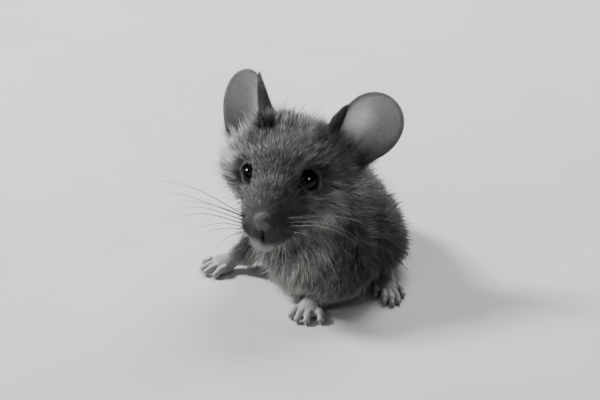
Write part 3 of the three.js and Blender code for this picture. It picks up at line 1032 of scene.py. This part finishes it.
skin.data.calc_loop_triangles()
triangles = skin.data.loop_triangles
corners = np.empty(len(triangles) * 3, dtype=np.int32)
triangles.foreach_get("vertices", corners)
corners = corners.reshape(-1, 3)
corner_loops = np.empty(len(triangles) * 3, dtype=np.int32)
triangles.foreach_get("loops", corner_loops)
corner_loops = corner_loops.reshape(-1, 3)
owner = np.empty(len(triangles), dtype=np.int32)
triangles.foreach_get("polygon_index", owner)
areas = np.empty(len(triangles))
triangles.foreach_get("area", areas)
tri_kind = kinds[owner]
flat_uv = np.empty(len(skin.data.loops) * 2)
skin.data.uv_layers["OFBake"].data.foreach_get("uv", flat_uv)
flat_uv = flat_uv.reshape(-1, 2)

tri_middle = skin_places[corners].mean(axis=1)
tri_head = in_head(tri_middle)
tri_share = skin_share[corners].mean(axis=1)
on_head = tri_share[:, FLESH.index("head")]
eye_near = np.minimum(*(np.linalg.norm(tri_middle - np.array(EYES[s]), axis=1) for s in EYES)) / MM


def ear_place(points, normals_there):
    """How far up its ear each point is, from 0 at the root to 1 at the tip, how far in, from -1 at the outer edge
    to 1 at the inner, and whether it is on the ear's back."""
    up = np.full(len(points), 2.0)
    inward = np.zeros(len(points))
    behind = np.zeros(len(points), dtype=bool)
    for ear in EARS.values():
        across, along, out = (np.array(v) for v in ear_axes(ear))
        away = in_head(points) - np.array(ear["at"])
        near = np.linalg.norm(away, axis=1) < 14
        up[near] = (away @ along / EAR_LENGTH)[near]
        inward[near] = (away @ across / (EAR_WIDTH / 2) * ear["inner"])[near]
        behind[near] = ((normals_there @ HEAD_AXES) @ out < 0)[near]
    return up, inward, behind


tri_up, tri_inward, tri_behind = ear_place(tri_middle, skin_normals[corners].mean(axis=1))


def wanted_density():
    """Hairs for each square millimetre of skin: most on the face, where they are smallest."""
    y = tri_head[:, 1]
    head = 140 - 68 * soft_step(y, -6, 5)
    head = head * (1 + 1.6 * fold_nearness(tri_middle, 8, 0.2, 0.8)[0]) * (1 + 0.5 * (1 - soft_step(eye_near, 2.4, 3.6)))
    density = on_head * head + (1 - on_head) * 30
    for node in ("foreleg_left", "foreleg_right"):
        density += tri_share[:, FLESH.index(node)] * 24
    ears = tri_kind == EAR
    inner_edge = soft_step(tri_inward, 0.62, 0.85)
    density[ears] = (np.where(tri_behind, 50, 9) + 40 * (1 - soft_step(tri_up, 0.0, 0.3)) + 50 * inner_edge)[ears]
    density[tri_kind == TAIL] = 10
    density[tri_kind == PAW] = 14
    density[tri_kind == NOSE] = 0
    density[eye_near < 1.9] = 0
    return density


density = wanted_density() * 1.0
counts = rng.poisson(areas / MM**2 * density)
picked = np.repeat(np.arange(len(corners)), counts)
total = len(picked)
u, v = rng.random(total), rng.random(total)
flip = u + v > 1
u[flip], v[flip] = 1 - u[flip], 1 - v[flip]
weights = np.stack([1 - u - v, u, v], axis=1)


def spread(values):
    return (values[corners[picked]] * weights[:, :, None]).sum(axis=1)


roots = spread(skin_places)
outs = unit(spread(skin_normals))
shares = spread(skin_share)
root_uv = (flat_uv[corner_loops[picked]] * weights[:, :, None]).sum(axis=1)
kind = tri_kind[picked]
head_roots = in_head(roots)
rows = (roots - np.array(BODY_SHIFT)) / MM
head_part = shares[:, FLESH.index("head")]
eye_gap = np.minimum(*(np.linalg.norm(roots - np.array(EYES[s]), axis=1) for s in EYES)) / MM
root_up, root_inward, root_behind = ear_place(roots, outs)
print("hairs", total)


def lie_of_coat(roots, outs, shares):
    """Which way the coat lies: back from the nose, round the eyes, to the rump, down the chest and the limbs."""
    head = in_head(roots)
    x, y, z = head.T
    rows = (roots - np.array(BODY_SHIFT)) / MM
    from_nose = unit(head - np.array((0, -11.0, -3.2)))
    sideways = np.sign(x) * soft_step(np.abs(x), 0.2, 3.0)
    face = from_nose + np.stack([0.25 * sideways, 0.25 + 0 * x, 0.1 - (0.5 - 0.25 * soft_step(-x, 2, 4)) * soft_step(-z, 0, 5)], axis=1)
    flow = np.zeros((len(roots), 3))
    flow += shares[:, [FLESH.index("head")]] * (unit(face) @ HEAD_AXES.T)
    down = soft_step(-outs[:, 1], 0.2, 0.8)
    trunk = np.stack([0.15 * np.sign(rows[:, 0]), 0.9 - 1.2 * down, -0.3 - 0.9 * down], axis=1)
    for node in ("trunk", "neck"):
        flow += shares[:, [FLESH.index(node)]] * unit(trunk)
    for node, way in (
        ("foreleg_left", (-0.45, -0.55, -0.7)),
        ("foreleg_right", (-0.7, -0.05, -0.7)),
        ("hindleg_left", (0.0, 0.55, -0.8)),
        ("hindleg_right", (0.0, 0.6, -0.75)),
    ):
        flow += shares[:, [FLESH.index(node)]] * unit(np.array([way]))
    return flow


def bare_lie(flow):
    """Ears: hairs run to the rim. Tail: to its tip. Paws and feet: to the toes."""
    for side, ear in EARS.items():
        root = np.array(from_head(ear["at"]))
        near = (kind == EAR) & (np.linalg.norm(roots - root, axis=1) < 14 * MM)
        flow[near] = unit(roots[near] - root) + 0.25 * np.array(HEAD_TURN @ ear_axes(ear)[0]) * ear["inner"]
    on_tail = kind == TAIL
    line = [np.array(placed(p)) for p in smooth_path(TAIL_ROUTE, 120)]
    tree = KDTree(len(line))
    for i, p in enumerate(line):
        tree.insert(p, i)
    tree.balance()
    for i in np.nonzero(on_tail)[0]:
        k = min(tree.find(roots[i])[1], len(line) - 2)
        flow[i] = line[k + 1] - line[k]
    for side in ("left", "right"):
        for at, yaw, outer in (FOREPAWS[side], HIND_FEET[side]):
            way = Matrix.Rotation(math.radians(yaw), 3, "Z") @ Vector((0, -1, -0.1))
            near = (kind == PAW) & (np.linalg.norm(roots - np.array(placed(at)), axis=1) < 17 * MM)
            flow[near] = np.array(way)
    return flow


fold_close, _ = fold_nearness(roots, 7, 0.2, 1.2)
fold_round, fold_way = fold_nearness(roots, 7, 0.3, 1.3)
flow = bare_lie(lie_of_coat(roots, outs, shares))
on_fold = (fold_round * (kind == COAT))[:, None]
flow = unit(flow) * (1 - on_fold) + fold_way * on_fold


def hair_sizes():
    """Length and lift of each hair, in millimetres and degrees."""
    x, y, z = head_roots.T
    length = 0.5 + 0.45 * soft_step(y, -9.5, -6.5) + 0.65 * soft_step(y, -6, -1) + 1.9 * soft_step(y, -1.5, 6)
    cheek = soft_step(np.abs(x), 3.6, 7.0) * soft_step(y, -2.5, 2) * (1 - 0.8 * soft_step(y, 4, 8) * soft_step(z, -2, 2))
    length += (1.2 + 0.4 * soft_step(-x, 0, 2)) * cheek
    for ear in EARS.values():
        length *= 1 - 0.5 * (1 - soft_step(np.linalg.norm(head_roots - np.array(ear["at"]), axis=1), 3.0, 5.5))
    length *= 1 - (0.6 - 0.25 * soft_step(np.abs(x), 5.0, 6.5)) * (1 - soft_step(eye_gap, 1.8, 3.0))
    lift = 12 + 12 * cheek + 7 * soft_step(y, 0, 7)
    body_length = np.zeros(len(roots))
    body_lift = np.zeros(len(roots))
    height = roots[:, 2] / MM
    for node, (long, up) in {
        "neck": (4.2, 28),
        "trunk": (3.3, 23),
        "hindleg_left": (4.0, 30),
        "hindleg_right": (3.6, 26),
    }.items():
        part = shares[:, FLESH.index(node)]
        if node.startswith("hind"):
            long = 1.0 + (long - 1.0) * soft_step(height, 1.5, 6)
        body_length += part * long
        body_lift += part * up
    for node, (first, last) in {
        "foreleg_left": ((8.2, -15.2, 6.6), (1.8, -23.2, 2.1)),
        "foreleg_right": ((-5.6, -11.2, 9), (-12.9, -10.4, 1.4)),
    }.items():
        part = shares[:, FLESH.index(node)]
        along, _ = limb_line(roots, first, last)
        body_length += part * (2.8 - 2.0 * soft_step(along, 0.25, 1))
        body_lift += part * (24 - 6 * along)
    length = head_part * length + body_length
    lift = head_part * lift + body_lift
    length = length * (1 - fold_close) + (1.2 + 0.4 * (1 - soft_step(z, 6, 8.5))) * fold_close
    lift = lift * (1 - fold_close) + 12 * fold_close
    length[kind == EAR] = (0.5 + 1.6 * (1 - soft_step(root_up, 0.02, 0.3)))[kind == EAR]
    lift[kind == EAR] = (14 + 12 * (1 - soft_step(root_up, 0.02, 0.3)))[kind == EAR]
    length[kind == TAIL] = 0.7
    lift[kind == TAIL] = 14
    length[kind == PAW] = 0.5
    lift[kind == PAW] = 12
    return length, lift


lengths, lifts = hair_sizes()
depths = coat_depth(roots, shares)


def locks(spacing):
    """Picks a guide for each lock of hair, and gives every hair the guide nearest to its root."""
    order = rng.permutation(total)
    chance = 1 / np.maximum(density[picked] * spacing**2, 1)
    guides = order[rng.random(total) < chance[order]]
    tree = KDTree(len(guides))
    for i, g in enumerate(guides):
        tree.insert(roots[g], i)
    tree.balance()
    nearest = np.array([tree.find(p)[1] for p in roots])
    return guides[nearest], guides


spacing = np.clip(lengths * 0.2, 0.22, 0.62)
mine, guides = locks(spacing)


def wandering(points, scale, seed):
    """Slow random turns over the body, so that locks part and cross."""
    shift = Vector((seed * 7.3, seed * 3.1, 0))
    return np.array([noise.noise_vector(Vector(p) * scale + shift) for p in points])


turns = np.zeros((total, 3))
turns[guides] = 0.3 * wandering(roots[guides], 420, 1) + 0.16 * wandering(roots[guides], 1300, 2)
turns = turns[mine]
own = rng.normal(size=(total, 3))


def directions(index, wild):
    along = unit(flow[index]) + turns[index] + wild
    normal = outs[index]
    along = unit(along - (along * normal).sum(axis=1, keepdims=True) * normal)
    return along, normal


jitter = np.where(kind == COAT, 0.13, 0.1)[:, None] * own
along, normal = directions(slice(None), jitter)
guide_along, guide_normal = directions(mine, 0)
guide_length = lengths[mine] * (1.05 + 0.12 * rng.normal(size=total)[mine])
lengths = lengths * np.clip(1 + 0.2 * rng.normal(size=total), 0.5, 1.6)
stray = (rng.random(total) < 0.05) & (kind == COAT) & (fold_close < 0.3)
lengths[stray] *= 1.35
lifts = lifts * np.clip(1 + 0.22 * rng.normal(size=total), 0.4, 1.8)
lifts[stray] += 14

start_lift = np.radians(lifts * 1.35 + 6)
end_lift = np.radians(lifts * 0.45)
guide_start, guide_end = start_lift[mine], end_lift[mine]
draw = np.where(kind == COAT, 0.22 + (0.12 + 0.18 * head_part) * soft_step(lengths, 1.0, 3.0), 0.0)
draw[stray] = 0.15


def curve(root, along, normal, length, first, last, t):
    a = along * np.cos(first)[:, None] + normal * np.sin(first)[:, None]
    b = along * np.cos(last)[:, None] + normal * np.sin(last)[:, None]
    return root + (a * (t - t * t / 2) + b * (t * t / 2)) * (length * MM)[:, None]


def hair_point(t):
    own_line = curve(roots - outs * 0.12 * MM, along, normal, lengths, start_lift, end_lift, t)
    lock_line = curve(roots[mine], guide_along, guide_normal, guide_length, guide_start, guide_end, t)
    pull = (draw * t**1.6)[:, None]
    return own_line * (1 - pull) + lock_line * pull


# Tones: dark at the root, lighter towards the tip, each hair and each lock its own.
root_tone = markings_and_painted_light(roots, outs, shares)
for bare in (EAR, TAIL, PAW):
    root_tone[kind == bare] = bare_tone(roots[kind == bare], bare) * 0.8
dark_fur = (kind == EAR) & (root_behind | (root_up < 0.22) | (root_inward > 0.7))
root_tone[dark_fur] = 0.07
lock_tone = np.clip(np.exp(0.19 * rng.normal(size=total)), 0.5, 1.9)[mine]
hair_tone = root_tone * lock_tone * np.clip(1 + 0.4 * rng.normal(size=total), 0.3, 2.3)
pale_lock = (rng.random(total) < 0.3)[mine]
pale_tip = rng.random(total) < np.where(pale_lock, 0.42, 0.12)
pale_tip |= stray & (head_part > 0.5)
pale_tip &= (fold_close < 0.3) & ~((head_part > 0.5) & (head_roots[:, 1] < -8.4))
width = np.where(kind == COAT, 0.036 + (0.016 - 0.006 * head_part) * lengths, 0.036) * rng.uniform(0.75, 1.25, total)
width[stray] *= 0.9
width *= 1 + 0.3 * head_part * (1 - soft_step(head_roots[:, 1], -4.0, -2.0))


def hairs(name, members, rings):
    """One joined mesh of closed three-sided hairs: a ring of three at each step and a point at the tip."""
    count = len(members)
    steps = np.linspace(0, 1, rings + 1)
    lines = np.stack([hair_point(t)[members] for t in steps], axis=1)
    side = unit(np.cross(along[members], outs[members]))
    points = np.empty((count, rings * 3 + 1, 3))
    tones = np.empty((count, rings * 3 + 1))
    spots = np.empty((count, rings * 3 + 1, 2))
    tip_gain = np.where(pale_tip[members], 3.1, 1.0)
    x, y, _ = head_roots[members].T
    # hairs start dark at the root and paler at the nose tip; on the mouse's right cheek, towards the key lamp, paler
    # still as painted light
    root_dark_and_painted_light = 0.45 + head_part[members] * (0.3 * soft_step(-x, 4.0, 6.0) + 0.4 * (1 - soft_step(y, -9.4, -8.4)))
    for i, t in enumerate(steps[:-1]):
        run = unit(lines[:, i + 1] - lines[:, i])
        up = unit(np.cross(side, run))
        thick = width[members] * MM * (0.8 + 0.2 * min(t * 4, 1)) * (1 - 0.55 * t)
        for k in range(3):
            angle = math.tau * k / 3 + math.pi / 2
            offset = side * math.cos(angle) + up * math.sin(angle) * 0.7
            points[:, i * 3 + k] = lines[:, i] + offset * (thick * 0.6)[:, None]
            tones[:, i * 3 + k] = root_dark_and_painted_light + (1 - root_dark_and_painted_light) * t + (tip_gain - 1.0) * max(t - 0.4, 0) * 1.2
            spots[:, i * 3 + k] = (0.0011 * math.cos(angle), 0.0026 * (t - 0.5))
    points[:, -1] = lines[:, -1]
    tones[:, -1] = tip_gain
    spots[:, -1] = (0, 0.0013)
    tones *= hair_tone[members][:, None]
    faces = [(0, 2, 1)]
    for i in range(rings - 1):
        a, b = i * 3, i * 3 + 3
        for k in range(3):
            n = (k + 1) % 3
            faces += [(a + k, a + n, b + n), (a + k, b + n, b + k)]
    a = (rings - 1) * 3
    faces += [(a, a + 1, a + 3), (a + 1, a + 2, a + 3), (a + 2, a, a + 3)]
    faces = np.array(faces)
    stride = rings * 3 + 1
    every = (faces[None] + (np.arange(count) * stride)[:, None, None]).reshape(-1, 3)
    mesh = bpy.data.meshes.new(name)
    mesh.vertices.add(count * stride)
    mesh.vertices.foreach_set("co", points.reshape(-1).astype(np.float32))
    mesh.loops.add(every.size)
    mesh.loops.foreach_set("vertex_index", every.ravel().astype(np.int32))
    mesh.polygons.add(len(every))
    mesh.polygons.foreach_set("loop_start", np.arange(0, every.size, 3, dtype=np.int32))
    mesh.polygons.foreach_set("use_smooth", np.ones(len(every), dtype=bool))
    mesh.update(calc_edges=True)
    obj = bpy.data.objects.new(name, mesh)
    bpy.context.collection.objects.link(obj)
    mesh.materials.append(fur.material)
    toned_mesh(obj, tones.ravel())
    layer = mesh.uv_layers.new(name="OFBake")
    uv = np.clip(root_uv[members][:, None] + spots, 0.0005, 0.9995).reshape(-1, 2)
    layer.data.foreach_set("uv", uv[every.ravel()].astype(np.float32).ravel())
    return obj


lowest = np.minimum(hair_point(1.0)[:, 2], hair_point(0.5)[:, 2])
kept = lowest > 0.12 * MM
region = np.full(total, 3)
region[(head_part > 0.5) & (head_roots[:, 1] < 1.0)] = 0
region[(head_part > 0.5) & (head_roots[:, 1] < -3.0)] = 7
region[(head_part > 0.5) & (head_roots[:, 1] >= 1.0) & (head_roots[:, 0] < 0)] = 1
region[(head_part > 0.5) & (head_roots[:, 1] >= 1.0) & (head_roots[:, 0] >= 0)] = 2
region[(head_part <= 0.5) & (rows[:, 0] > 2)] = 4
region[(head_part <= 0.5) & (rows[:, 1] > 0)] = 5
region[kind != COAT] = 6
coats = []
for number, (name, rings) in enumerate(
    (
        ("face", 2),
        ("crown_right", 2),
        ("crown_left", 2),
        ("side_right", 2),
        ("side_left", 2),
        ("rump", 2),
        ("down", 1),
        ("muzzle", 1),
    )
):
    members = np.nonzero((region == number) & kept)[0]
    most = 195000 // (6 * rings - 2)
    for part in range(math.ceil(len(members) / most)):
        coats.append(hairs("coat_%s_%d" % (name, part + 1), members[part::math.ceil(len(members) / most)], rings))
print("coat", [(c.name, len(c.data.polygons)) for c in coats], sum(len(c.data.polygons) for c in coats))


# ---- Pieces take their places in the frame ----

FLESH_NODES = [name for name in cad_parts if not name.startswith(("eye", "whiskers"))]
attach(skin, "root")
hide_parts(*FLESH_NODES)
for side, eye in eyes.items():
    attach(eye, "root")
    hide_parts("eye_" + side)
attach(claw_set, "root")
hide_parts("whiskers_left", "whiskers_right")
for piece in (whisker_set, *coats):
    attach(piece, "root")
